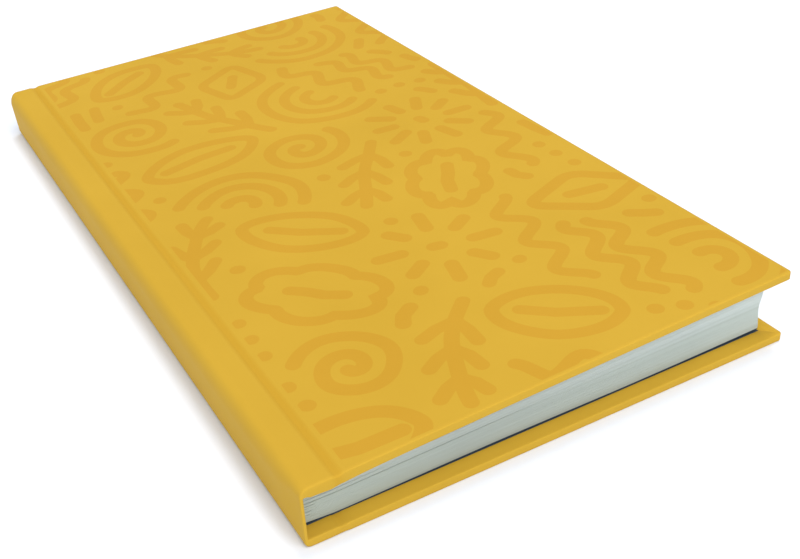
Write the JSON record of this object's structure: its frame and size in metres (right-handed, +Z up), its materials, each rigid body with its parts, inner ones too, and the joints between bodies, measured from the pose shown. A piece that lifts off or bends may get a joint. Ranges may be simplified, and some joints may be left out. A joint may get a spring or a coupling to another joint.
{
  "type": "hardcover notebook",
  "caption": "Slim case-bound notebook with a flat spine, pressed hinge grooves, plain pages and two covers that open right back.",
  "frame": {"origin": "centre of the underside, where the notebook rests on its back cover", "axes": "+Y along the spine from tail to head, +X from the spine to the fore-edge, +Z up through the front cover"},
  "size_m": [0.1172, 0.216, 0.0181],
  "materials": {
    "cover_paper": "matt coated yellow paper with a tone-on-tone print",
    "greyboard": "grey bookbinding board",
    "spine_card": "thin smooth card",
    "endpaper": "uncoated slate-grey paper",
    "lining_cloth": "open starched cotton",
    "page_paper": "uncoated white paper, cut edges"
  },
  "bodies": {
    "text_block": {"page_block": "page_paper", "front_flyleaf": "endpaper", "back_flyleaf": "endpaper", "spine_lining": "lining_cloth", "spine_card": "spine_card", "front_hinge_strip": "greyboard", "back_hinge_strip": "greyboard", "cover_paper_spine": "cover_paper"},
    "front_cover": {"front_board": "greyboard", "cover_paper_front": "cover_paper", "front_pastedown": "endpaper"},
    "back_cover": {"back_board": "greyboard", "cover_paper_back": "cover_paper", "back_pastedown": "endpaper"}
  },
  "joints": [
    {"name": "front_cover_hinge", "type": "hinge", "parent": "text_block", "child": "front_cover", "pos_m": [-0.05096, 0, 0.01447], "axis": [0, -1, 0], "range_deg": [0, 178]},
    {"name": "back_cover_hinge", "type": "hinge", "parent": "text_block", "child": "back_cover", "pos_m": [-0.05095, 0, -0.0002], "axis": [0, 1, 0], "range_deg": [0, 178]}
  ]
}
